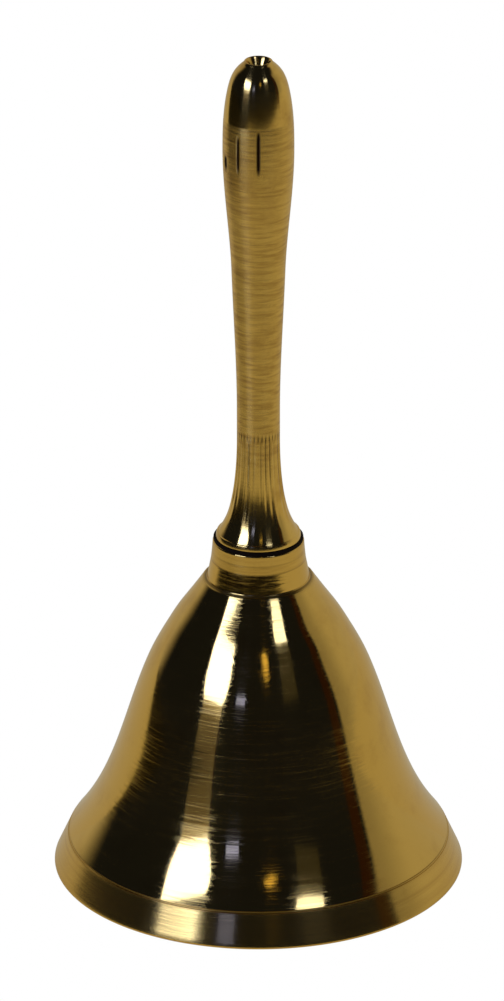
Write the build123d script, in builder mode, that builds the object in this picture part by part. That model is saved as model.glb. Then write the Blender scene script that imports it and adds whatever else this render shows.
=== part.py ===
# Small turned brass hand bell, standing on its rim with the clapper hanging free inside.
#
# Frame: millimetres, +Z up along the axis of symmetry, origin at the centre of the mouth
# on the plane of the lip.  The clapper's two pivots run along X and along Y.
from build123d import *
from math import atan, cos, radians, sin, sqrt, tan
import os

os.makedirs("parts", exist_ok=True)

# --- Driving dimensions -----------------------------------------------------------------
# A turned outline is a chain of stations (height, radius, slope); slope is the change of
# radius per millimetre of height, and a smooth cubic joins each station to the next.

# Bell
lip_radius = 31.0
lip_rounding = 0.3
band_lean = 24.0  # degrees from vertical of the plain conical band above the lip
flank = [(5.1, 28.86, -0.80), (14.4, 23.35, -0.433), (33.0, 16.86, -0.406), (47.15, 8.35, -0.68)]
wall_at_flank = [2.4, 2.1, 2.0, 2.0]  # wall thickness at each flank station
incised_line_radius = 0.2

# Neck of the bell: a cone with a steeper collar above it
neck_cone = [(47.3, 7.72, -0.20), (50.35, 7.13, -0.185)]
neck_collar = [(50.35, 7.13, -0.12), (53.45, 6.85, -0.06)]
neck_top = neck_collar[-1][0]
neck_foot_rounding = 0.25
neck_edge_rounding = 0.2
neck_bore_radius = 5.2
neck_bore_bottom = 47.7
crown_thickness = 2.95
crown_corner_rounding = 0.6

# Handle
handle_washer_radius = 6.75
handle_washer_thickness = 0.45
foot_bottom = neck_top + handle_washer_thickness
foot_radius = 6.5
foot_top_radius = 6.25
foot_ring_top = 54.8
foot_rounding = 0.15
handle_stem = [(foot_ring_top, 6.0, -0.66), (59.95, 4.06, -0.19), (74.6, 3.22, 0.0)]
handle_bulb = [(74.6, 3.22, 0.0), (96.9, 4.0, 0.034), (116.2, 5.30, 0.0), (126.1, 4.48, -0.228)]
handle_top = 130.2
dome_reach = 2.4  # how far the bulb's slope line runs on into the dome before it turns in
dome_shoulder_width = 1.0
dome_shoulder_drop = 0.9
dimple_radius = 1.9
dimple_half_angle = 30.0
dimple_rim_width = 0.2
pilot_radius = 0.5
pilot_depth = 3.6
tapped_hole_depth = 13.0
drill_point_half_angle = 59.0

# M4 stud, washer and nut
stud_radius = 2.0
stud_clearance_radius = 2.15
stud_top = 65.5
stud_bottom = 45.0
stud_chamfer = 0.6
crown_washer_radius = 4.5
crown_washer_thickness = 0.8
nut_across_flats = 7.0
nut_height = 3.2
nut_chamfer = 0.35

# Clapper and the two interlocked eyes and ring that it swings on
running_gap = 0.05
eye_wire_radius = 1.1
eye_ring_radius = 2.3
eye_centre = 42.6
link_wire_radius = 0.7
link_slack = 0.5
rod_radius = 1.0
rod_eye_radius = 2.3
ball_radius = 6.0
ball_centre = 11.0
spigot_radius = 0.8
rivet_head_radius = 1.5
rivet_head_height = 0.6
rivet_head_rounding = 0.42

# --- Worked-out dimensions --------------------------------------------------------------
crown_inside = neck_top - crown_thickness
crown_washer_bottom = crown_inside - crown_washer_thickness
nut_bottom = crown_washer_bottom - nut_height
nut_corner_radius = nut_across_flats / sqrt(3)

eye_pivot = eye_centre - eye_ring_radius  # height of the eye's bottom wire
link_top = eye_pivot + eye_wire_radius + running_gap + link_wire_radius
link_ring_radius = eye_wire_radius + rod_radius + running_gap + link_slack / 2 + link_wire_radius
link_centre = link_top - link_ring_radius
link_pivot = link_centre - link_ring_radius  # height of the link's bottom wire
rod_eye_top = link_pivot + link_wire_radius + running_gap + rod_radius
rod_eye_centre = rod_eye_top - rod_eye_radius
rod_eye_bottom = rod_eye_centre - rod_eye_radius
ball_flat = sqrt(ball_radius**2 - rod_radius**2)  # half height between the ball's two seats
ball_top = ball_centre + ball_flat
ball_bottom = ball_centre - ball_flat


def smooth_outline(stations):
    """Draw the cubics through the stations of a turned outline, in the line being built."""
    for (low, low_radius, low_slope), (high, high_radius, high_slope) in zip(stations, stations[1:]):
        third = (high - low) / 3
        Bezier(
            (low_radius, low),
            (low_radius + low_slope * third, low + third),
            (high_radius - high_slope * third, high - third),
            (high_radius, high),
        )


def inside_of(station, wall):
    """The station on the inner face of a wall, square across it from an outer station."""
    height, radius, slope = station
    lean = atan(-slope)
    return height - wall * sin(lean), radius - wall * cos(lean), slope


def corner(section, radius, height):
    """The corner of a half section that lies nearest a given radius and height."""
    return section.vertices().sort_by_distance((radius, height))[0]


# --- Bell shell: one turned casting with its neck ----------------------------------------
inner_flank = [inside_of(station, wall) for station, wall in zip(flank, wall_at_flank)]
band_thickness_across = wall_at_flank[0] / cos(radians(band_lean))
mouth_radius = lip_radius + lip_rounding * sin(radians(band_lean)) - band_thickness_across

with BuildPart() as bell_shell:
    with BuildSketch(Plane.XZ) as bell_section:
        with BuildLine():
            lip_arc = JernArc((lip_radius - lip_rounding, 0), (1, 0), lip_rounding, 90 + band_lean)
            Line(lip_arc @ 1, (flank[0][1], flank[0][0]))
            smooth_outline(flank)
            Line((flank[-1][1], flank[-1][0]), (neck_cone[0][1], neck_cone[0][0]))
            smooth_outline(neck_cone)
            smooth_outline(neck_collar)
            Polyline(
                (neck_collar[-1][1], neck_top),
                (stud_clearance_radius, neck_top),
                (stud_clearance_radius, crown_inside),
                (neck_bore_radius, crown_inside),
                (neck_bore_radius, neck_bore_bottom),
                (inner_flank[-1][1], inner_flank[-1][0]),
            )
            smooth_outline(inner_flank)
            Polyline((inner_flank[0][1], inner_flank[0][0]), (mouth_radius, 0), lip_arc @ 0)
        make_face()
        fillet(corner(bell_section, neck_cone[0][1], neck_cone[0][0]), neck_foot_rounding)
        fillet(corner(bell_section, neck_collar[-1][1], neck_top), neck_edge_rounding)
        fillet(corner(bell_section, neck_bore_radius, crown_inside), crown_corner_rounding)
    revolve(axis=Axis.Z)
    with BuildSketch(Plane.XZ):
        with Locations((flank[0][1], flank[0][0])):
            Circle(incised_line_radius)
    revolve(axis=Axis.Z, mode=Mode.SUBTRACT)

# --- Handle: turned bar with a tapped hole in its foot and a centre hole in its top ------
drill_point = stud_radius / tan(radians(drill_point_half_angle))
hole_end = foot_bottom + tapped_hole_depth
dimple_depth = (dimple_radius - pilot_radius) / tan(radians(dimple_half_angle))
dome_start, dome_radius, dome_slope = handle_bulb[-1]
dome_end = (dimple_radius + dimple_rim_width, handle_top - dimple_rim_width)

with BuildPart() as handle:
    with BuildSketch(Plane.XZ) as handle_section:
        with BuildLine():
            Polyline(
                (0, hole_end + drill_point),
                (stud_radius, hole_end),
                (stud_radius, foot_bottom),
                (foot_radius, foot_bottom),
                (foot_top_radius, foot_ring_top),
                (handle_stem[0][1], foot_ring_top),
            )
            smooth_outline(handle_stem)
            smooth_outline(handle_bulb)
            Bezier(
                (dome_radius, dome_start),
                (dome_radius + dome_slope * dome_reach, dome_start + dome_reach),
                (dome_end[0] + dome_shoulder_width, dome_end[1] - dome_shoulder_drop),
                dome_end,
            )
            Polyline(
                dome_end,
                (dimple_radius, handle_top),
                (pilot_radius, handle_top - dimple_depth),
                (pilot_radius, handle_top - pilot_depth),
                (0, handle_top - pilot_depth),
                (0, hole_end + drill_point),
            )
        make_face()
        fillet(corner(handle_section, foot_radius, foot_bottom), foot_rounding)
        fillet(corner(handle_section, foot_top_radius, foot_ring_top), foot_rounding)
    revolve(axis=Axis.Z)

# --- Thin fibre washer between handle and neck -------------------------------------------
with BuildPart() as handle_washer:
    with BuildSketch(Plane.XY.offset(neck_top)):
        Circle(handle_washer_radius)
        Circle(stud_clearance_radius, mode=Mode.SUBTRACT)
    extrude(amount=handle_washer_thickness)

# --- Hanger stud: M4 stud with a closed eye, in the XZ plane, at its lower end -----------
with BuildPart() as hanger_stud:
    with BuildSketch(Plane.XY.offset(stud_bottom)):
        Circle(stud_radius)
    extrude(amount=stud_top - stud_bottom)
    chamfer(hanger_stud.edges().filter_by(GeomType.CIRCLE), stud_chamfer)
    with Locations(Location((0, 0, eye_centre), (90, 0, 0))):
        Torus(eye_ring_radius, eye_wire_radius)

# --- Washer and nut on the stud, inside the neck -----------------------------------------
with BuildPart() as crown_washer:
    with BuildSketch(Plane.XY.offset(crown_washer_bottom)):
        Circle(crown_washer_radius)
        Circle(stud_clearance_radius, mode=Mode.SUBTRACT)
    extrude(amount=crown_washer_thickness)

with BuildPart() as crown_nut:
    with BuildSketch(Plane.XY.offset(nut_bottom)):
        RegularPolygon(nut_across_flats / 2, 6, major_radius=False)
        Circle(stud_radius, mode=Mode.SUBTRACT)
    extrude(amount=nut_height)
    with BuildSketch(Plane.XZ):
        with BuildLine():
            Polyline(
                (0, nut_bottom),
                (nut_across_flats / 2, nut_bottom),
                (nut_corner_radius, nut_bottom + nut_chamfer),
                (nut_corner_radius, crown_washer_bottom - nut_chamfer),
                (nut_across_flats / 2, crown_washer_bottom),
                (0, crown_washer_bottom),
                close=True,
            )
        make_face()
    revolve(axis=Axis.Z, mode=Mode.INTERSECT)

# --- Clapper link: closed wire ring in the YZ plane --------------------------------------
with BuildPart() as clapper_link:
    with Locations(Location((0, 0, link_centre), (0, 90, 0))):
        Torus(link_ring_radius, link_wire_radius)

# --- Clapper rod: wire with an eye in the XZ plane and a spigot riveted under the ball ---
with BuildPart() as clapper_rod:
    with BuildSketch(Plane.XY.offset(ball_top)):
        Circle(rod_radius)
    extrude(amount=rod_eye_bottom - ball_top)
    with Locations(Location((0, 0, rod_eye_centre), (90, 0, 0))):
        Torus(rod_eye_radius, rod_radius)
    with BuildSketch(Plane.XY.offset(ball_bottom)):
        Circle(spigot_radius)
    extrude(amount=ball_top - ball_bottom)
    with BuildSketch(Plane.XY.offset(ball_bottom)):
        Circle(rivet_head_radius)
    extrude(amount=-rivet_head_height)
    fillet(clapper_rod.edges().filter_by(GeomType.CIRCLE).sort_by(Axis.Z)[0], rivet_head_rounding)

# --- Clapper ball: turned brass ball, drilled through, with a flat seat at each end ------
with BuildPart() as clapper_ball:
    with Locations((0, 0, ball_centre)):
        Sphere(ball_radius)
    with BuildSketch(Plane.XY.offset(ball_bottom)):
        Circle(ball_radius)
    extrude(amount=ball_top - ball_bottom, mode=Mode.INTERSECT)
    with BuildSketch(Plane.XY.offset(ball_bottom)):
        Circle(spigot_radius)
    extrude(amount=ball_top - ball_bottom, mode=Mode.SUBTRACT)

pieces = {
    "bell_shell": bell_shell,
    "handle": handle,
    "handle_washer": handle_washer,
    "hanger_stud": hanger_stud,
    "crown_washer": crown_washer,
    "crown_nut": crown_nut,
    "clapper_link": clapper_link,
    "clapper_rod": clapper_rod,
    "clapper_ball": clapper_ball,
}
for name, piece in pieces.items():
    piece.part.label = name
    export_step(piece.part, f"parts/{name}.step")

print("link swings about X at height", round(eye_pivot, 3))
print("clapper swings about Y at height", round(link_pivot, 3))
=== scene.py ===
"""A small turned brass hand bell standing on its rim, with its clapper hanging inside."""
import math

import bpy
import numpy as np
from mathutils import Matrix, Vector


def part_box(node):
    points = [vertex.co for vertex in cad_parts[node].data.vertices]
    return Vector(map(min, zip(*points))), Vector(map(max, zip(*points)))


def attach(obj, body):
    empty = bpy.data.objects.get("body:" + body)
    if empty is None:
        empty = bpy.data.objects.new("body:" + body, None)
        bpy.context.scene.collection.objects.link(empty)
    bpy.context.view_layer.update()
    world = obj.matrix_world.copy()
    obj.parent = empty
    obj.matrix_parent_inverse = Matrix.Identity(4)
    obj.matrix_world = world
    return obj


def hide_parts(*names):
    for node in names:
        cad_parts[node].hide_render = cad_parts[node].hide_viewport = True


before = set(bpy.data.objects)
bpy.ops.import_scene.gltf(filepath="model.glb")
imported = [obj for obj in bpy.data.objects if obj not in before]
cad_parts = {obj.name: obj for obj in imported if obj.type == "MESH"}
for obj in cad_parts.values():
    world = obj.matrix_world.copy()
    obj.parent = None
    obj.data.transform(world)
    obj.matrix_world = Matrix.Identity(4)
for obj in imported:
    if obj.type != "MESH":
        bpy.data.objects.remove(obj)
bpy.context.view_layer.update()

MM = 0.001
TURN = 2 * math.pi


# --- Sizes, in millimetres, from the frame where it holds them ---------------------------
def lowest(node):
    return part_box(node)[0].z / MM


def highest(node):
    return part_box(node)[1].z / MM


def reach(node):
    """Largest radius of a node that is turned about the Z axis."""
    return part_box(node)[1].x / MM


# A station of a turned outline is (height, radius, slope), slope being radius per height.
lip_radius = reach("bell_shell")
neck_top = highest("bell_shell")
lip_rounding = 0.3
band_lean = math.radians(24.0)
flank = [(5.1, 28.86, -0.80), (14.4, 23.35, -0.433), (33.0, 16.86, -0.406), (47.15, 8.35, -0.68)]
wall_at_flank = [2.4, 2.1, 2.0, 2.0]
incised_line_radius = 0.2
neck_cone = [(47.3, 7.72, -0.20), (50.35, 7.13, -0.185)]
neck_collar = [(50.35, 7.13, -0.12), (neck_top, 6.85, -0.06)]
neck_foot_rounding = 0.25
neck_edge_rounding = 0.2
neck_lines = [(50.5, 0.012), (51.8, 0.008)]  # height and depth of two fine turned lines
wave_height, wave_middle, wave_spread = 0.13, 41.2, 2.2  # the buff leaves the flank a little full
neck_line_spread = 0.1
neck_bore_radius = 5.2
neck_bore_bottom = 47.7
crown_inside = highest("crown_washer")
crown_rounding = 0.6
stud_radius = 2.0
stud_clearance_radius = 2.15

foot_bottom = lowest("handle")
handle_top = highest("handle")
foot_radius = reach("handle")
foot_top_radius = 6.25
foot_ring_top = 54.8
foot_rounding = 0.15
stem = [(foot_ring_top, 6.0, -0.66), (59.95, 4.06, -0.19), (74.6, 3.22, 0.0)]
bulb = [(74.6, 3.22, 0.0), (96.9, 4.0, 0.034), (116.2, 5.30, 0.0), (126.1, 4.48, -0.228)]
dome_reach = 2.4
dome_shoulder_width = 1.0
dome_shoulder_drop = 0.9
dome_rim = 0.2
rim_rounding = 0.16
dimple_radius = 1.9
dimple_half_angle = math.radians(30.0)
pilot_radius = 0.5
pilot_depth = 3.6
tapped_hole_depth = 13.0
drill_point = 1.2
pilot_point = 0.3


# --- Turned outlines ---------------------------------------------------------------------
def smooth(stations, points):
    """Points along the cubics through the stations, as (radius, height) rows.

    Between two stations the cubic Bezier has its inner control points a third of the way up,
    each on the slope line of its own station.
    """
    rows = []
    for (low, low_radius, low_slope), (high, high_radius, high_slope) in zip(stations, stations[1:]):
        third = (high - low) / 3
        control = np.array([
            (low_radius, low),
            (low_radius + low_slope * third, low + third),
            (high_radius - high_slope * third, high - third),
            (high_radius, high),
        ])
        t = np.linspace(0, 1, points)[:, None]
        weights = np.hstack([(1 - t) ** 3, 3 * t * (1 - t) ** 2, 3 * t**2 * (1 - t), t**3])
        rows.append(weights @ control)
    return np.vstack(rows)


def arc(centre, radius, start, end, points):
    """Points on a circle from one angle to another, in degrees from the radius axis towards up."""
    angle = np.radians(np.linspace(start, end, points))
    return np.column_stack([centre[0] + radius * np.cos(angle), centre[1] + radius * np.sin(angle)])


def straight(*corners, spacing=1.0):
    """Points along a chain of straight runs, about one spacing apart."""
    rows = []
    for start, end in zip(np.array(corners[:-1]), np.array(corners[1:])):
        points = max(2, int(np.hypot(*(end - start)) / spacing) + 2)
        rows.append(start + np.linspace(0, 1, points)[:, None] * (end - start))
    return np.vstack(rows)


def join(*stretches):
    """One outline from several stretches, without the points that repeat at their ends."""
    rows = np.vstack(stretches)
    step = np.hypot(*np.diff(rows, axis=0).T)
    return rows[np.concatenate([[True], step > 1e-4])]


def inside_of(station, wall):
    """The station on the inner face of a wall, square across it from an outer station."""
    height, radius, slope = station
    lean = math.atan(-slope)
    return height - wall * math.sin(lean), radius - wall * math.cos(lean), slope


def bell_outline():
    """Closed outline of the bell: lip, band, incised line, flank, neck, bore, inner wall."""
    start = np.array([flank[0][1], flank[0][0]])
    lip_centre = (lip_radius - lip_rounding, lip_rounding)
    lip = arc(lip_centre, lip_rounding, -90, math.degrees(band_lean), 9)
    band = straight(lip[-1], start, spacing=0.6)
    outer = smooth(flank, 38)
    outer[:, 0] += wave_height * np.exp(-(((outer[:, 1] - wave_middle) / wave_spread) ** 2))
    across = wall_at_flank[0] / math.cos(band_lean)
    mouth = (lip_radius + lip_rounding * math.sin(band_lean) - across, 0.0)
    inner = smooth([inside_of(s, wall) for s, wall in zip(flank, wall_at_flank)], 20)[::-1]

    def clear(rows):
        return rows[np.hypot(*(rows - start).T) > incised_line_radius]

    below, above = clear(band), clear(outer)
    down = np.degrees(np.arctan2(*(below[-1] - start)[::-1])) % 360
    up = np.degrees(np.arctan2(*(above[0] - start)[::-1])) % 360
    incised = arc(start, incised_line_radius, down, up, 9)

    neck_rows = np.vstack([smooth(neck_cone, 30), smooth(neck_collar, 30)[1:]])
    for height, depth in neck_lines:
        neck_rows[:, 0] -= depth * np.exp(-(((neck_rows[:, 1] - height) / neck_line_spread) ** 2))
    foot_centre = (neck_cone[0][1] + neck_foot_rounding, neck_cone[0][0] + neck_foot_rounding)
    foot = arc(foot_centre, neck_foot_rounding, 270, 190, 6)
    neck_rows = neck_rows[neck_rows[:, 1] > foot[-1][1]]
    edge_centre = (neck_collar[-1][1] - neck_edge_rounding, neck_top - neck_edge_rounding)
    edge = arc(edge_centre, neck_edge_rounding, 0, 90, 6)
    neck_rows = neck_rows[neck_rows[:, 1] < edge[0][1]]
    crown_centre = (neck_bore_radius - crown_rounding, crown_inside - crown_rounding)
    crown = arc(crown_centre, crown_rounding, 90, 0, 7)
    return join(
        lip,
        below,
        incised,
        above,
        foot,
        neck_rows,
        edge,
        straight(edge[-1], (stud_clearance_radius, neck_top)),
        straight((stud_clearance_radius, neck_top), (stud_clearance_radius, crown_inside)),
        straight((stud_clearance_radius, crown_inside), crown[0]),
        crown,
        straight(crown[-1], (neck_bore_radius, neck_bore_bottom), inner[0]),
        inner,
        straight(inner[-1], mouth, lip[0]),
    )[:-1]


def handle_outline():
    """Outline of the handle from the end of its tapped hole to the bottom of its centre hole."""
    hole_end = foot_bottom + tapped_hole_depth
    low = arc((foot_radius - foot_rounding, foot_bottom + foot_rounding), foot_rounding, -90, 0, 6)
    high = arc((foot_top_radius - foot_rounding, foot_ring_top - foot_rounding), foot_rounding, 15, 90, 6)
    dimple_depth = (dimple_radius - pilot_radius) / math.tan(dimple_half_angle)
    dome_start, dome_radius, dome_slope = bulb[-1]
    rim_outer = (dimple_radius + dome_rim, handle_top - dome_rim)
    t = np.linspace(0, 1, 24)[:, None]
    dome_control = np.array([
        (dome_radius, dome_start),
        (dome_radius + dome_reach * dome_slope, dome_start + dome_reach),
        (rim_outer[0] + dome_shoulder_width, rim_outer[1] - dome_shoulder_drop),
        rim_outer,
    ])
    dome = np.hstack([(1 - t) ** 3, 3 * t * (1 - t) ** 2, 3 * t**2 * (1 - t), t**3]) @ dome_control
    rim = arc((dimple_radius + 0.06, handle_top - rim_rounding), rim_rounding, 45, 150, 6)
    bore_end = (stud_radius, hole_end)
    return join(
        straight((0, hole_end + drill_point), bore_end, (stud_radius, foot_bottom), low[0], spacing=2.0),
        low,
        high,
        straight(high[-1], (stem[0][1], foot_ring_top)),
        smooth(stem, 46),
        smooth(bulb, 34),
        dome[:-1],
        rim,
        straight(
            rim[-1],
            (pilot_radius, handle_top - dimple_depth),
            (pilot_radius, handle_top - pilot_depth),
            (0, handle_top - pilot_depth - pilot_point),
            spacing=0.4,
        ),
    )


# --- Meshes ------------------------------------------------------------------------------
def build_mesh(name, points, faces, uv=None, along=None, smooth_angle=32.0):
    """A mesh object at the origin from points in millimetres, with sharp edges past an angle."""
    mesh = bpy.data.meshes.new(name)
    mesh.from_pydata((points * MM).tolist(), [], faces.tolist() if hasattr(faces, "tolist") else faces)
    mesh.polygons.foreach_set("use_smooth", np.ones(len(mesh.polygons), bool))
    if uv is not None:
        layer = mesh.uv_layers.new(name="TurnedUV")
        layer.data.foreach_set("uv", uv.astype(np.float32).ravel())
    if along is not None:
        values = mesh.attributes.new("outline_mm", "FLOAT", "POINT")
        values.data.foreach_set("value", along.astype(np.float32))
    mesh.update()
    mesh.set_sharp_from_angle(angle=math.radians(smooth_angle))
    piece = bpy.data.objects.new(name, mesh)
    bpy.context.collection.objects.link(piece)
    return piece


def turned(name, outline, steps, reshape=None, closed=False):
    """A turned piece: point (i, j) is outline point i carried to angle j round the Z axis.

    x = r cos(a), y = r sin(a), z = h.  reshape(a, r, h) may give back a changed radius.
    A closed outline joins its last point to its first; an open one starts and ends on the
    axis, and each end becomes a single pole with a fan of triangles.
    """
    length = np.concatenate([[0], np.cumsum(np.hypot(*np.diff(outline, axis=0).T))])
    rings = outline if closed else outline[1:-1]
    ring_length = length if closed else length[1:-1]
    angle = np.arange(steps) * TURN / steps
    radius = np.repeat(rings[:, :1], steps, axis=1)
    height = np.repeat(rings[:, 1:], steps, axis=1)
    if reshape is not None:
        radius = reshape(angle[None, :], radius, height)
    grid = np.stack([radius * np.cos(angle), radius * np.sin(angle), height], axis=-1)
    points = grid.reshape(-1, 3)
    along = np.repeat(ring_length, steps)
    rows = len(rings)
    i, j = np.meshgrid(np.arange(rows if closed else rows - 1), np.arange(steps), indexing="ij")
    nxt, beside = (i + 1) % rows, (j + 1) % steps
    quads = np.stack([i * steps + j, i * steps + beside, nxt * steps + beside, nxt * steps + j], -1)
    seam = np.where(i + 1 == rows, length[-1] + np.hypot(*(outline[0] - outline[-1])), ring_length[nxt])
    u0, u1 = j / steps, (j + 1) / steps
    v0, v1 = ring_length[i] / 100, seam / 100
    corners = [(u0, v0), (u1, v0), (u1, v1), (u0, v1)]
    uv = np.stack([np.stack(corner, -1) for corner in corners], -2)
    faces = quads.reshape(-1, 4).tolist()
    uv = uv.reshape(-1, 2)
    if not closed:
        first, last = len(points), len(points) + 1
        points = np.vstack([points, [0, 0, outline[0][1]], [0, 0, outline[-1][1]]])
        along = np.concatenate([along, [0, length[-1]]])
        k = np.arange(steps)
        side = (k + 1) % steps
        top = (rows - 1) * steps
        faces += np.stack([np.full(steps, first), side, k], -1).tolist()
        faces += np.stack([np.full(steps, last), top + k, top + side], -1).tolist()
        fan = np.stack([k + 0.5, k + 1.0, k + 0.0], -1) / steps
        begin = ring_length[0] / 100
        low = np.stack([fan, np.broadcast_to([0, begin, begin], fan.shape)], -1)
        fan = np.stack([k + 0.5, k + 0.0, k + 1.0], -1) / steps
        end = ring_length[-1] / 100
        high = np.stack([fan, np.broadcast_to([length[-1] / 100, end, end], fan.shape)], -1)
        uv = np.vstack([uv, low.reshape(-1, 2), high.reshape(-1, 2)])
    return build_mesh(name, points, faces, uv, along)


def bent_wire(name, plane, start, heading, moves, radius, steps, closed=False, swell=None):
    """Wire bent in a plane by straight runs and arcs, drawn one after another.

    plane is the pair of axes the bends lie in.  A move is (length, degrees turned, rows): no
    turn gives a straight run.  Point (i, j) is centre i plus radius i times
    (side cos(a) + normal sin(a)), where side lies in the plane, square to the wire.
    swell(s, a, r) may give back a radius that changes with distance s and angle a.
    """
    place, bearing = np.array(start, float), math.radians(heading)
    centres, bearings, radii = [], [], []
    for (length, turn, rows), size in zip(moves, radius):
        share = np.linspace(0, 1, rows)
        turn = math.radians(turn)
        bearing_rows = bearing + turn * share
        if turn:
            bend = length / turn
            step = bend * np.column_stack([
                np.sin(bearing_rows) - math.sin(bearing),
                math.cos(bearing) - np.cos(bearing_rows),
            ])
        else:
            step = length * share[:, None] * [math.cos(bearing), math.sin(bearing)]
        centres.append(place + step)
        bearings.append(bearing_rows)
        radii.append(np.interp(share, np.linspace(0, 1, len(size)), size))
        place, bearing = place + step[-1], bearing + turn
    centres, bearings, radii = np.vstack(centres), np.concatenate(bearings), np.concatenate(radii)
    if closed:
        centres, bearings, radii = centres[:-1], bearings[:-1], radii[:-1]
    first, second = np.array(plane, float)
    normal = np.cross(first, second)
    middle = centres[:, :1] * first + centres[:, 1:] * second
    side = np.sin(bearings)[:, None] * first - np.cos(bearings)[:, None] * second
    gone = np.concatenate([[0], np.cumsum(np.hypot(*np.diff(centres, axis=0).T))])
    angle = np.arange(steps) * TURN / steps
    size = np.repeat(radii[:, None], steps, axis=1)
    if swell is not None:
        size = swell(gone[:, None], angle[None, :], size)
    ring = side[:, None, :] * np.cos(angle)[:, None] + normal * np.sin(angle)[:, None]
    points = (middle[:, None, :] + size[..., None] * ring).reshape(-1, 3)
    rows = len(centres)
    i, j = np.meshgrid(np.arange(rows if closed else rows - 1), np.arange(steps), indexing="ij")
    nxt, beside = (i + 1) % rows, (j + 1) % steps
    faces = np.stack([i * steps + j, nxt * steps + j, nxt * steps + beside, i * steps + beside], -1)
    faces = faces.reshape(-1, 4).tolist()
    along = np.repeat(gone, steps)
    if not closed:
        first_pole, last_pole = len(points), len(points) + 1
        points = np.vstack([points, middle[0], middle[-1]])
        along = np.concatenate([along, [0, gone[-1]]])
        k = np.arange(steps)
        beside = (k + 1) % steps
        end = (rows - 1) * steps
        faces += np.stack([np.full(steps, first_pole), k, beside], -1).tolist()
        faces += np.stack([np.full(steps, last_pole), end + beside, end + k], -1).tolist()
    return build_mesh(name, points, faces, along=along)


# --- The pieces --------------------------------------------------------------------------
# Bearing round the axis from the front (towards +X), height, half length, half width, depth.
chuck_bites = [
    (-66, 115.0, 1.2, 0.34, 0.10),
    (-35, 117.0, 2.9, 0.18, 0.10),
    (0, 117.6, 3.4, 0.20, 0.12),
    (118, 117.2, 2.6, 0.18, 0.10),
    (151, 117.8, 3.2, 0.18, 0.10),
]
flute_bottom, flute_top = 56.5, 71.2
flute_rise, flute_fall = 4.5, 3.0  # heights over which the flutes deepen and fade
flute_depth = 0.07
flute_start, flute_start_spread, flute_start_depth = 70.9, 0.45, 0.02
grime_bottom = 62.0
grime_rise = 3.0
grimed_depth = 0.05  # a bite this deep is fully dark


def bites(angle, radius, height):
    """Depth of the chuck's bites: narrow grooves along the handle, deepest at their middle."""
    total = 0 * radius
    for bearing, middle, half_length, width, depth in chuck_bites:
        off = (angle - math.radians(bearing - 90) + math.pi) % TURN - math.pi
        across = np.exp(-((off * radius / width) ** 2))
        total = total + depth * across * np.clip(1 - ((height - middle) / half_length) ** 4, 0, 1)
    return total


def flute_ends(angle, height):
    """A ring of short marks where the flutes begin, strongest at one height."""
    level = np.exp(-(((height - flute_start) / flute_start_spread) ** 2))
    return level * np.clip(np.sin(35 * angle + 0.4), 0, 1)


def flutes(angle):
    """Waves round the axis, from -1 to 1: two near pitches beat, so that no two flutes are alike."""
    return (np.sin(24 * angle + 0.6 * np.sin(5 * angle)) + 0.5 * np.sin(31 * angle + 1.7)) / 1.5


def chatter(angle, radius, height):
    """Radius cut back by the flutes that the tool left in the handle's flare, and by the bites.

    Each flute is a shallow wave round the axis; its depth rises and falls along the flare.
    """
    outside = radius > stud_radius + 0.5
    rise = np.clip((height - flute_bottom) / flute_rise, 0, 1)
    rise = rise * np.clip((flute_top - height) / flute_fall, 0, 1)
    cut = flute_depth * rise * (1 + flutes(angle)) + flute_start_depth * flute_ends(angle, height)
    return radius - outside * (cut + bites(angle, radius, height))


def handle_residue(angle, radius, height):
    """Dark residue in the chuck's bites, at the flutes' ends and along their upper half."""
    grimed = np.clip((height - grime_bottom) / grime_rise, 0, 1) * np.clip(flute_top - height, 0, 1)
    grooves = 0.5 * grimed * np.clip(flutes(angle), 0, 1) ** 2
    bitten = np.clip(bites(angle, radius, height) / grimed_depth, 0, 1)
    return bitten + 0.6 * flute_ends(angle, height) + grooves


def bell_darkening(angle, radius, height):
    """Darker brown at the neck's foot, in the incised line and in the neck's two fine lines."""
    corner = np.exp(-(((height - neck_cone[0][0]) / 0.13) ** 2)) * (radius > neck_bore_radius + 1)
    line = np.exp(-(((height - flank[0][0]) / 0.15) ** 2)) * (radius > lip_radius - 4)
    above = sum(20 * depth * np.exp(-(((height - level) / 0.08) ** 2)) for level, depth in neck_lines)
    return 0.6 * corner + 0.45 * line + above


def leave_darkening(piece, amount):
    """Store on a turned piece how dark each point is made, from 0 to 1."""
    points = np.empty(len(piece.data.vertices) * 3, np.float32)
    piece.data.vertices.foreach_get("co", points)
    x, y, z = points.reshape(-1, 3).T / MM
    dark = amount(np.arctan2(y, x), np.hypot(x, y), z)
    values = piece.data.attributes.new("darkening", "FLOAT", "POINT")
    values.data.foreach_set("value", np.clip(dark, 0, 1).astype(np.float32))


thread_pitch = 0.7
thread_depth = 0.38
eye_gap = 42  # degrees that an eye stays open
nut_chamfer = 0.35
nut_lead = 0.3
end_chamfer = 0.5
washer_edge = 0.15
black_ring_edge = 0.08


def thread(gone, angle, radius):
    """Radius of an M4 thread: a triangle wave that climbs one pitch each turn, on the full shank."""
    climb = (gone / thread_pitch + angle / TURN) % 1
    return radius - np.where(radius > stud_radius - 0.01, thread_depth * np.abs(2 * climb - 1), 0)


def hexagon(across_flats):
    """A reshape that cuts the radius back to the flats of a hexagon with corners on the X axis."""

    def cut(angle, radius, height):
        flat = across_flats / 2 / np.cos((angle % (math.pi / 3)) - math.pi / 6)
        return np.minimum(radius, flat)

    return cut


def ring_outline(inner, outer, low, high, edge):
    """Closed outline of a flat ring with its two outer edges rounded."""
    bottom = arc((outer - edge, low + edge), edge, -90, 0, 4)
    top = arc((outer - edge, high - edge), edge, 0, 90, 4)
    return join(bottom, top, straight(top[-1], (inner, high), (inner, low), bottom[0]))[:-1]


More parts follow.
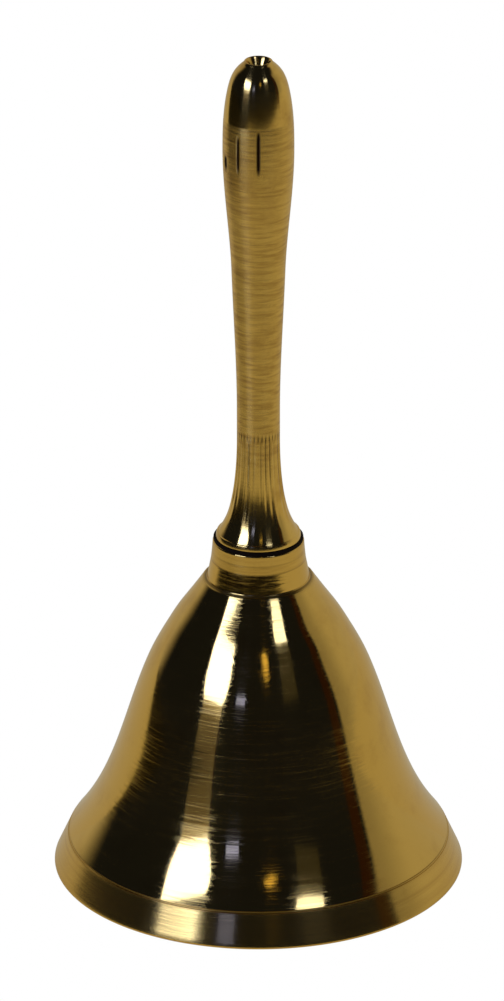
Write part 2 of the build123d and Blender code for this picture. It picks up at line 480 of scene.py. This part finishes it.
def nut_outline(low, high, across_flats):
    """Closed outline of a hex nut: chamfered corners outside, chamfered bore inside."""
    corner, flat, slope = across_flats / math.sqrt(3), across_flats / 2, nut_chamfer
    bore, lead = stud_radius - 0.02, nut_lead
    return straight(
        (bore, low + lead),
        (bore + lead, low),
        (flat, low),
        (corner, low + slope),
        (corner, high - slope),
        (flat, high),
        (bore + lead, high),
        (bore, high - lead),
        (bore, low + lead),
        spacing=0.8,
    )[:-1]


def eye_moves(ring_radius, bend):
    """How far a shank ends short of its eye's centre, and the moves that bend and close the eye.

    bend is the radius of the small bend under the eye.  The bend and the eye are circles that
    touch, so the straight shank ends sqrt(R^2 + 2 R b) below the eye's centre.
    """
    reach_down = math.sqrt(ring_radius**2 + 2 * ring_radius * bend)
    lean = math.degrees(math.atan2(reach_down, bend))
    around = 360 - (90 - lean) - eye_gap
    return reach_down, [
        (math.radians(lean) * bend, lean, 10),
        (math.radians(around) * ring_radius, -around, 64),
    ]


bell = turned("brass_bell", bell_outline(), 310, closed=True)
# The bell is made darker brown at the neck's foot, in the incised line and in its fine lines.
leave_darkening(bell, bell_darkening)
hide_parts("bell_shell")

handle = turned("brass_handle", handle_outline(), 396, chatter)
leave_darkening(handle, handle_residue)
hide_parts("handle")

# A black, matt ring between the handle's foot and the top of the neck.
black_neck_ring = turned(
    "black_neck_ring",
    ring_outline(stud_clearance_radius, reach("handle_washer"), neck_top, foot_bottom, black_ring_edge),
    192,
    closed=True,
)
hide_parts("handle_washer")

plain_washer = turned(
    "plain_washer",
    ring_outline(
        stud_clearance_radius,
        reach("crown_washer"),
        lowest("crown_washer"),
        crown_inside,
        washer_edge,
    ),
    96,
    closed=True,
)
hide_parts("crown_washer")

nut_low, nut_high = lowest("crown_nut"), highest("crown_nut")
nut_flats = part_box("crown_nut")[1].y * 2 / MM
hex_nut = turned("hex_nut", nut_outline(nut_low, nut_high, nut_flats), 96, hexagon(nut_flats), closed=True)
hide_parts("crown_nut")

# The stud's eye: its wire leaves the shank under the nut and closes round the link.
eye_wire, eye_ring = 1.1, 2.3
eye_low = lowest("hanger_stud")
eye_centre = eye_low + eye_wire + eye_ring
stud_top = highest("hanger_stud")
reach_down, moves = eye_moves(eye_ring, 1.6)
shank_end = eye_centre + reach_down
shank = stud_top - shank_end
eye_stud = bent_wire(
    "eye_stud",
    ((1, 0, 0), (0, 0, 1)),
    (0, stud_top),
    -90,
    [
        (end_chamfer, 0, 4),
        (shank - 2 * end_chamfer, 0, 280),
        (end_chamfer, 0, 6),
        *moves,
        (0.25, 0, 4),
    ],
    [
        (stud_radius - end_chamfer, stud_radius),
        (stud_radius, stud_radius),
        (stud_radius, eye_wire),
        (eye_wire, eye_wire),
        (eye_wire, eye_wire),
        (eye_wire, eye_wire - 0.25),
    ],
    32,
    swell=thread,
)
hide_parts("hanger_stud")

# The link: a ring of wire in the YZ plane, butt welded on one side.
link_low, link_high = lowest("clapper_link"), highest("clapper_link")
link_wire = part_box("clapper_link")[1].x / MM
link_ring = (link_high - link_low) / 2 - link_wire


def butt_weld(gone, angle, radius):
    """A weld bead on the ring: the wire swells by a tenth over a short length."""
    return radius * (1 + 0.1 * np.exp(-(((gone - link_ring * math.pi / 2) / 0.35) ** 2)))


wire_link = bent_wire(
    "wire_link",
    ((0, 1, 0), (0, 0, 1)),
    (0, link_low + link_wire),
    0,
    [(TURN * link_ring, 360, 97)],
    [(link_wire, link_wire)],
    24,
    closed=True,
    swell=butt_weld,
)
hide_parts("clapper_link")

# The clapper: a turned ball on a wire whose lower end is riveted over and whose top is an eye.
ball_radius = reach("clapper_ball")
rod_eye_top = highest("clapper_rod")
rod_foot = lowest("clapper_rod")
rod_wire, rod_eye = 1.0, 2.3
ball_bottom, ball_top = lowest("clapper_ball"), highest("clapper_ball")
rod_eye_centre = rod_eye_top - rod_wire - rod_eye
reach_down, moves = eye_moves(rod_eye, 1.5)
spigot, rivet, rivet_rise = 0.8, 1.5, 0.4
clapper_wire = bent_wire(
    "clapper_wire",
    ((1, 0, 0), (0, 0, 1)),
    (0, rod_foot),
    90,
    [
        (rivet_rise, 0, 6),
        (ball_bottom - rod_foot - rivet_rise, 0, 2),
        (ball_top - ball_bottom, 0, 2),
        (rod_eye_centre - reach_down - ball_top, 0, 24),
        *moves,
        (0.2, 0, 4),
    ],
    [
        (rivet * 0.55, rivet * 0.78, rivet * 0.9, rivet * 0.97, rivet),
        (rivet, rivet),
        (spigot, spigot),
        (rod_wire, rod_wire),
        (rod_wire, rod_wire),
        (rod_wire, rod_wire),
        (rod_wire, rod_wire - 0.2),
    ],
    24,
)
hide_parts("clapper_rod")


def ball_outline():
    """Closed outline of the drilled ball: an arc between two flat seats and the bore."""
    centre = (ball_bottom + ball_top) / 2
    tilt = math.degrees(math.asin((ball_top - centre) / ball_radius))
    skin = arc((0, centre), ball_radius, -tilt, tilt, 72)
    return join(skin, straight(skin[-1], (spigot, ball_top), (spigot, ball_bottom), skin[0]))[:-1]


turned_ball = turned("turned_ball", ball_outline(), 128, closed=True)
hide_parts("clapper_ball")

for piece in (bell, handle, black_neck_ring, plain_washer, hex_nut, eye_stud):
    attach(piece, "root")
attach(wire_link, "link")
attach(clapper_wire, "clapper")
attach(turned_ball, "clapper")


# --- Materials ---------------------------------------------------------------------------
SMOOTH = {"interpolation_type": "SMOOTHSTEP"}
tarnish_brown = "#A87A38"
# Brown for the handle's residue and for the bell's darker neck foot and lines.
darkening_brown = "#3A240F"
scratch_scale = 75.0  # noise cells per metre: about one scratch every 13 mm
scratch_break_scale = 160.0
blotch_scale = 140.0  # noise cells per metre: tarnish spots about 7 mm across
polish_line_pitch = 0.05
streak_pitch = 0.6


def linear(hex_colour):
    """Linear RGBA of an sRGB hex colour."""
    channels = [int(hex_colour[i : i + 2], 16) / 255 for i in (1, 3, 5)]
    return [c / 12.92 if c <= 0.04045 else ((c + 0.055) / 1.055) ** 2.4 for c in channels] + [1.0]


def add(tree, kind, inputs=(), out=0, **settings):
    """Add a node and give back one of its outputs.

    inputs are values or other nodes' outputs, by socket name or in socket order; settings are
    the node's own properties.
    """
    node = tree.nodes.new(kind)
    for name, value in settings.items():
        setattr(node, name, value)
    for socket, value in inputs.items() if isinstance(inputs, dict) else enumerate(inputs):
        if isinstance(value, bpy.types.NodeSocket):
            tree.links.new(value, node.inputs[socket])
        else:
            node.inputs[socket].default_value = value
    return node.outputs[out] if node.outputs else None


def new_material(name):
    """An empty material and its node tree."""
    material = bpy.data.materials.new(name)
    material.use_nodes = True
    material.node_tree.nodes.clear()
    return material, material.node_tree


def turning_coordinates(tree):
    """Vector for marks round a turned piece: (x, y) of the bearing, then outline length in mm."""
    place = add(tree, "ShaderNodeTexCoord", out="Object")
    flat = add(tree, "ShaderNodeVectorMath", [place, (1, 1, 0)], operation="MULTIPLY")
    bearing = add(tree, "ShaderNodeVectorMath", [flat], operation="NORMALIZE")
    along = add(tree, "ShaderNodeAttribute", out="Fac", attribute_name="outline_mm")
    up = add(tree, "ShaderNodeCombineXYZ", {"Z": along})
    return add(tree, "ShaderNodeVectorMath", [bearing, up], operation="ADD")


def turning_marks(tree, vector, pitch, stretch, detail=2.0):
    """Noise whose grain is one pitch (mm) along the outline and long round the axis."""
    cells = (stretch, stretch, 1 / pitch)
    scaled = add(tree, "ShaderNodeVectorMath", [vector, cells], operation="MULTIPLY")
    grain = {"Vector": scaled, "Scale": 1.0, "Detail": detail, "Roughness": 0.6}
    return add(tree, "ShaderNodeTexNoise", grain, out="Fac")


def hairlines(tree, place, seed, depth):
    """A few long fine scratches: where a slow noise crosses its middle, kept in broken lengths."""
    moved = add(tree, "ShaderNodeVectorMath", [place, (seed, 0, 0)], operation="ADD")
    slow = {"Vector": moved, "Scale": scratch_scale, "Detail": 0.0}
    wander = add(tree, "ShaderNodeTexNoise", slow, out="Fac")
    off = add(tree, "ShaderNodeMath", [wander, 0.5], operation="SUBTRACT")
    away = add(tree, "ShaderNodeMath", [off], operation="ABSOLUTE")
    line = add(tree, "ShaderNodeMapRange", [away, 0.0, 0.005, depth * MM, 0.0], **SMOOTH)
    quick = {"Vector": moved, "Scale": scratch_break_scale, "Detail": 1.0}
    gaps = add(tree, "ShaderNodeTexNoise", quick, out="Fac")
    kept = add(tree, "ShaderNodeMapRange", [gaps, 0.55, 0.6, 0.0, 1.0], **SMOOTH)
    return add(tree, "ShaderNodeMath", [line, kept], operation="MULTIPLY")


def satin_zones(tree, place, zones):
    """1 inside zones (from, to, fade), heights in mm, and 0 outside them."""
    rise = add(tree, "ShaderNodeSeparateXYZ", [place], out="Z")
    matted = 0.0
    for start, end, fade in zones:
        low, high = (start - fade) * MM, (start + fade) * MM
        above = add(tree, "ShaderNodeMapRange", [rise, low, high, 0.0, 1.0], **SMOOTH)
        low, high = (end - 0.15) * MM, (end + 0.15) * MM
        under = add(tree, "ShaderNodeMapRange", [rise, low, high, 1.0, 0.0], **SMOOTH)
        zone = add(tree, "ShaderNodeMath", [above, under], operation="MULTIPLY")
        matted = add(tree, "ShaderNodeMath", [matted, zone], operation="MAXIMUM")
    return matted


def ring_heights(tree, vector, place, matted, marks, calm, scratches):
    """Height of the surface: two sets of scratches and the layers of turned rings."""
    first = hairlines(tree, place, 1.3, scratches)
    second = hairlines(tree, place, 4.7, scratches)
    height = add(tree, "ShaderNodeMath", [first, second], operation="ADD")
    for pitch, depth, stretch, detail, low, high in marks:
        noise = turning_marks(tree, vector, pitch, stretch, detail)
        ring = add(tree, "ShaderNodeMapRange", [noise, low, high, 0.0, depth * MM])
        share = add(tree, "ShaderNodeMapRange", [matted, 0.0, 1.0, calm, 1.0], **SMOOTH)
        ring = add(tree, "ShaderNodeMath", [ring, share], operation="MULTIPLY")
        height = add(tree, "ShaderNodeMath", [height, ring], operation="ADD")
    return height


def stained(tree, vector, place, matted, colour, tarnish):
    """Brass colour browned by tarnish: in spots all over, and in streaks where it is satin."""
    spots = {"Vector": place, "Scale": blotch_scale, "Detail": 4.0, "Roughness": 0.65}
    blotch = add(tree, "ShaderNodeTexNoise", spots, out="Fac")
    spotted = add(tree, "ShaderNodeMapRange", [blotch, 0.45, 0.8, 0.0, tarnish], **SMOOTH)
    streaks = turning_marks(tree, vector, streak_pitch, 0.9, 3.0)
    streaked = add(tree, "ShaderNodeMapRange", [streaks, 0.35, 0.75, 0.0, tarnish], **SMOOTH)
    streaked = add(tree, "ShaderNodeMath", [matted, streaked], operation="MULTIPLY")
    stain = add(tree, "ShaderNodeMath", [spotted, streaked], operation="MAXIMUM")
    colours = {"Factor": stain, "A": linear(colour), "B": linear(tarnish_brown)}
    return add(tree, "ShaderNodeMix", colours, out="Result", data_type="RGBA")


def brass(name, colour, polished, satin, zones, marks, tarnish=0.3, scratches=0.0, calm=1.0):
    """Turned brass: rings of tool and polishing marks that stretch highlights along the outline.

    polished and satin are two roughnesses; the satin one holds in zones (from, to, fade), heights
    in mm.  marks is a list of (pitch mm, depth mm, stretch, detail, low, high): each a layer of
    rings, whose depth comes in as the noise rises from low to high.  calm is the share of that
    depth left where the brass is polished.
    """
    material, tree = new_material(name)
    vector = turning_coordinates(tree)
    place = add(tree, "ShaderNodeTexCoord", out="Object")
    matted = satin_zones(tree, place, zones)
    height = ring_heights(tree, vector, place, matted, marks, calm, scratches)
    bump = add(tree, "ShaderNodeBump", {"Height": height, "Distance": 1.0, "Strength": 1.0})
    skin = stained(tree, vector, place, matted, colour, tarnish)
    # The handle's residue and the bell's darker neck foot and lines: browner and rougher.
    darkening = add(tree, "ShaderNodeAttribute", out="Fac", attribute_name="darkening")
    colours = {"Factor": darkening, "A": skin, "B": linear(darkening_brown)}
    soiled = add(tree, "ShaderNodeMix", colours, out="Result", data_type="RGBA")
    # Fine lines left between polished rings are rougher than the rings.
    lines = turning_marks(tree, vector, polish_line_pitch, 1.5)
    scored = add(tree, "ShaderNodeMapRange", [lines, 0.56, 0.7, 0.0, 0.21])
    gloss = add(tree, "ShaderNodeMapRange", [matted, 0.0, 1.0, polished, satin])
    gloss = add(tree, "ShaderNodeMath", [gloss, scored], operation="MAXIMUM")
    dulled = {"Factor": darkening, "A": gloss, "B": 0.7}
    tangent = add(tree, "ShaderNodeTangent", direction_type="UV_MAP", uv_map="TurnedUV")
    shader = {
        "Base Color": soiled,
        "Metallic": 1.0,
        "Roughness": add(tree, "ShaderNodeMix", dulled, out="Result", data_type="FLOAT"),
        "Anisotropic": 0.9,
        "Anisotropic Rotation": 0.25,
        "Tangent": tangent,
        "Normal": bump,
    }
    surface = add(tree, "ShaderNodeBsdfPrincipled", shader)
    add(tree, "ShaderNodeOutputMaterial", {"Surface": surface})
    return material


# Yellow brass casting, turned on a lathe and buffed bright on a wheel; the lip band and the neck
# keep more of the turning.
bell_skin = brass(
    "buffed_turned_brass",
    "#E6BE61",
    polished=0.065,
    satin=0.15,
    zones=[(50.35, 60.0, 0.15), (-1.0, flank[0][0], 0.15)],
    marks=[
        (0.09, 0.0013, 1.0, 2.0, 0.57, 0.68),
        (0.36, 0.0012, 0.5, 0.0, 0.50, 0.72),
        (0.45, 0.0014, 6.0, 0.0, 0.62, 0.72),
    ],
    scratches=0.0012,
)
# Free-cutting brass bar, turned: left satin from the tool along the stem, polished at both ends.
handle_skin = brass(
    "turned_brass_handle",
    "#EBC466",
    polished=0.13,
    satin=0.27,
    zones=[(66.0, 121.3, 3.0)],
    marks=[
        (0.10, 0.0040, 1.0, 2.0, 0.57, 0.68),
        (0.34, 0.0100, 0.7, 0.0, 0.40, 0.72),
    ],
    tarnish=0.6,
    calm=0.12,
)
# The casting's inside: bored with a coarse feed and never polished, so browned all over.
inner_skin = brass(
    "rough_turned_brass",
    "#D9AE57",
    polished=0.3,
    satin=0.3,
    zones=[(10.0, 50.0, 0.2)],
    marks=[(0.3, 0.004, 1.2, 2.0, 0.3, 0.7), (0.8, 0.012, 1.2, 0.0, 0.45, 0.7)],
    tarnish=0.8,
)
# Free-cutting brass bar turned to a ball with a form tool.
ball_skin = brass(
    "turned_brass_ball",
    "#E2BA60",
    polished=0.2,
    satin=0.2,
    zones=[(0.0, 20.0, 0.2)],
    marks=[(0.2, 0.002, 1.2, 2.0, 0.3, 0.7)],
)


def plain(name, colour, metallic, roughness, specular=0.5):
    """A material of one colour and one finish."""
    material, tree = new_material(name)
    shader = {
        "Base Color": linear(colour),
        "Metallic": metallic,
        "Roughness": roughness,
        "Specular IOR Level": specular,
    }
    surface = add(tree, "ShaderNodeBsdfPrincipled", shader)
    add(tree, "ShaderNodeOutputMaterial", {"Surface": surface})
    return material


# A black, matt ring between the handle's foot and the top of the neck.
black_matt = plain("black_matt_ring", "#1A1006", 0.0, 0.75, specular=0.1)
# Steel wire, bar and sheet, zinc plated bright.
zinc = plain("bright_zinc_plate", "#C9CCCF", 1.0, 0.3)

for piece, material, slot in (
    (bell, bell_skin, "bell_brass"),
    (handle, handle_skin, "handle_brass"),
    (black_neck_ring, black_matt, "black_fibre"),
    (plain_washer, zinc, "steel"),
    (hex_nut, zinc, "steel"),
    (eye_stud, zinc, "steel"),
    (wire_link, zinc, "steel"),
    (clapper_wire, zinc, "steel"),
    (turned_ball, ball_skin, "clapper_brass"),
):
    piece.data.materials.append(material)

# The inside of the bell is left as it was bored: faces that look towards the axis.
bell.data.materials.append(inner_skin)
centres = np.empty(len(bell.data.polygons) * 3, np.float32)
normals = np.empty_like(centres)
bell.data.polygons.foreach_get("center", centres)
bell.data.polygons.foreach_get("normal", normals)
inward = (centres.reshape(-1, 3)[:, :2] * normals.reshape(-1, 3)[:, :2]).sum(axis=1) < 0
bell.data.polygons.foreach_set("material_index", inward.astype(np.int32))

# --- Floor, light and camera -------------------------------------------------------------
floor_mesh = bpy.data.meshes.new("floor")
floor_mesh.from_pydata([(-3, -3, 0), (3, -3, 0), (3, 3, 0), (-3, 3, 0)], [], [(0, 1, 2, 3)])
floor = bpy.data.objects.new("floor", floor_mesh)
bpy.context.collection.objects.link(floor)

# White to the camera.  The brass sees a table top of even brightness with a dark room beyond
# its front edge and beyond its left edge, which slants away to the back.
table_glow = (0.445, 0.41, 0.32, 1)
table_shade = 0.02
front_shade, front_pale = -0.43, -0.41  # metres, between which the table comes out of the dark
left_shade, left_pale = -0.27, -0.22
left_slant, left_offset = 1.25, -0.1
white = (1, 1, 1, 1)
floor_paint, tree = new_material("pale_floor")
place = add(tree, "ShaderNodeTexCoord", out="Object")
across = add(tree, "ShaderNodeSeparateXYZ", [place], out="X")
depth = add(tree, "ShaderNodeSeparateXYZ", [place], out="Y")
front_edge = add(tree, "ShaderNodeMapRange", [depth, front_shade, front_pale, table_shade, 1.0], **SMOOTH)
behind = add(tree, "ShaderNodeMath", [depth, left_slant, left_offset], operation="MULTIPLY_ADD")
behind = add(tree, "ShaderNodeMath", [behind, 0.0], operation="MAXIMUM")
slant = add(tree, "ShaderNodeMath", [across, behind], operation="ADD")
left_edge = add(tree, "ShaderNodeMapRange", [slant, left_shade, left_pale, table_shade, 1.0], **SMOOTH)
table = add(tree, "ShaderNodeMath", [front_edge, left_edge], operation="MULTIPLY")
seen = add(tree, "ShaderNodeLightPath", out="Is Camera Ray")
strengths = {"Factor": seen, "A": table, "B": 1.0}
strength = add(tree, "ShaderNodeMix", strengths, out="Result", data_type="FLOAT")
tints = {"Factor": seen, "A": table_glow, "B": white}
tint = add(tree, "ShaderNodeMix", tints, out="Result", data_type="RGBA")
glow = add(tree, "ShaderNodeEmission", {"Color": tint, "Strength": strength})
add(tree, "ShaderNodeOutputMaterial", {"Surface": glow})
floor_mesh.materials.append(floor_paint)


panel_distance = 1.2
panel_middle = 0.04


def panel(name, corners, radiance):
    """A flat glowing card, seen only in the brass.

    corners are its directions from the bell: bearing from the front towards +X, then rise,
    in degrees.
    """
    bearing, rise = np.radians(np.array(corners, float)).T
    level = np.cos(rise)
    outward = np.column_stack([np.sin(bearing) * level, -np.cos(bearing) * level, np.sin(rise)])
    mesh = bpy.data.meshes.new(name)
    places = outward * panel_distance + [0, 0, panel_middle]
    mesh.from_pydata(places.tolist(), [], [tuple(range(len(corners)))])
    card = bpy.data.objects.new(name, mesh)
    bpy.context.collection.objects.link(card)
    card.visible_camera = False
    card.visible_diffuse = False
    paint, tree = new_material(name)
    glow = add(tree, "ShaderNodeEmission", {"Color": (*radiance, 1), "Strength": 1.0})
    add(tree, "ShaderNodeOutputMaterial", {"Surface": glow})
    mesh.materials.append(paint)


window_edge = [
    (-54, 15.5),
    (-38, 16.5),
    (-35, 20),
    (-33.5, 26),
    (-33, 31),
    (-35, 37),
    (-37.5, 38.6),
    (-67, 38.6),
    (-65, 33),
    (-62.5, 25),
    (-58, 18),
]
panel("window", window_edge, (3.4, 4.2, 9.0))
panel("side_window", [(27, 41.5), (33, 40), (45, 39), (46, 47), (26, 47)], (2.4, 2.9, 6.0))
panel("blue_card", [(-23, 20), (-14, 20), (-14, 24), (-23, 24)], (0.45, 0.65, 3.2))
panel("amber_card", [(3, 35), (8, 36.5), (14, 33), (9, 32)], (1.1, 0.9, 0.4))
panel("near_haze", [(-56, 13.2), (-37, 13.2), (-36, 17), (-57, 17)], (0.28, 0.26, 0.27))
panel("low_haze", [(-57, 5), (-38, 5), (-37, 13.2), (-56, 13.2)], (0.10, 0.095, 0.10))
panel("side_haze", [(26, 20), (42, 20), (45, 38), (28, 39)], (0.035, 0.036, 0.04))
panel("brown_door", [(70, -8), (78, -8), (80, 50), (72, 50)], (0.024, 0.010, 0.005))

fill = bpy.data.lights.new("overhead_fill", "AREA")
fill.size = 1.2
fill.energy = 6.0
overhead_fill = bpy.data.objects.new("overhead_fill", fill)
bpy.context.collection.objects.link(overhead_fill)
overhead_fill.location = (0, 0.2, 1.2)
overhead_fill.visible_glossy = False

# Pale surroundings behind and beside the bell, a dark room in front of it.  A bearing counts
# from the front towards +X, in degrees.
dark_room = (0.009, 0.011, 0.022, 1)
pale_backdrop = (0.44, 0.42, 0.37, 1)
near_white = (0.95, 0.95, 0.95, 1)
right_edge_start, right_edge_full, right_edge_end = 80, 84, 112
left_edge_end, left_edge_start = -136, -115
overhead_start, overhead_end = 0.62, 0.75  # sine of the rise at which the backdrop ends

world = bpy.data.worlds.new("studio")
bpy.context.scene.world = world
world.use_nodes = True
tree = world.node_tree
tree.nodes.clear()
way = add(tree, "ShaderNodeTexCoord", out="Generated")
across = add(tree, "ShaderNodeSeparateXYZ", [way], out="X")
depth = add(tree, "ShaderNodeSeparateXYZ", [way], out="Y")
rise = add(tree, "ShaderNodeSeparateXYZ", [way], out="Z")
towards = add(tree, "ShaderNodeMath", [depth, -1.0], operation="MULTIPLY")
bearing = add(tree, "ShaderNodeMath", [across, towards], operation="ARCTAN2")
start, full, end = (math.radians(a) for a in (right_edge_start, right_edge_full, right_edge_end))
near = add(tree, "ShaderNodeMapRange", [bearing, start, full, 0.0, 0.6], **SMOOTH)
far = add(tree, "ShaderNodeMapRange", [bearing, full, end, 0.0, 0.4], **SMOOTH)
right = add(tree, "ShaderNodeMath", [near, far], operation="ADD")
end, start = math.radians(left_edge_end), math.radians(left_edge_start)
left = add(tree, "ShaderNodeMapRange", [bearing, end, start, 1.0, 0.0], **SMOOTH)
beside = add(tree, "ShaderNodeMath", [right, left], operation="MAXIMUM")
overhead = add(tree, "ShaderNodeMapRange", [rise, overhead_start, overhead_end, 1.0, 0.0], **SMOOTH)
pale = add(tree, "ShaderNodeMath", [beside, overhead], operation="MULTIPLY")
room = {"Factor": pale, "A": dark_room, "B": pale_backdrop}
room = add(tree, "ShaderNodeMix", room, out="Result", data_type="RGBA")
seen = {"Factor": add(tree, "ShaderNodeLightPath", out="Is Camera Ray"), "A": room, "B": near_white}
seen = add(tree, "ShaderNodeMix", seen, out="Result", data_type="RGBA")
sky = add(tree, "ShaderNodeBackground", {"Color": seen, "Strength": 1.0})
add(tree, "ShaderNodeOutputWorld", {"Surface": sky})

# The camera looks down at the bell from the front, far off, through a long lens.
camera_rise = math.radians(24.02)
camera_distance = 1.367
aim = Vector((0, 0, 0.05963))
lens_per_frame = 9.126  # focal length over the frame's height
camera_data = bpy.data.cameras.new("camera")
camera_data.sensor_width = 36
camera_data.lens = 36 * lens_per_frame
camera_data.shift_x = -0.0064
camera_data.clip_start, camera_data.clip_end = 0.05, 20
camera = bpy.data.objects.new("camera", camera_data)
bpy.context.collection.objects.link(camera)
back = Vector((0, -math.cos(camera_rise), math.sin(camera_rise)))
camera.location = aim + back * camera_distance
camera.rotation_euler = back.to_track_quat("Z", "Y").to_euler()
bpy.context.scene.camera = camera
bpy.context.scene.view_settings.view_transform = "Standard"
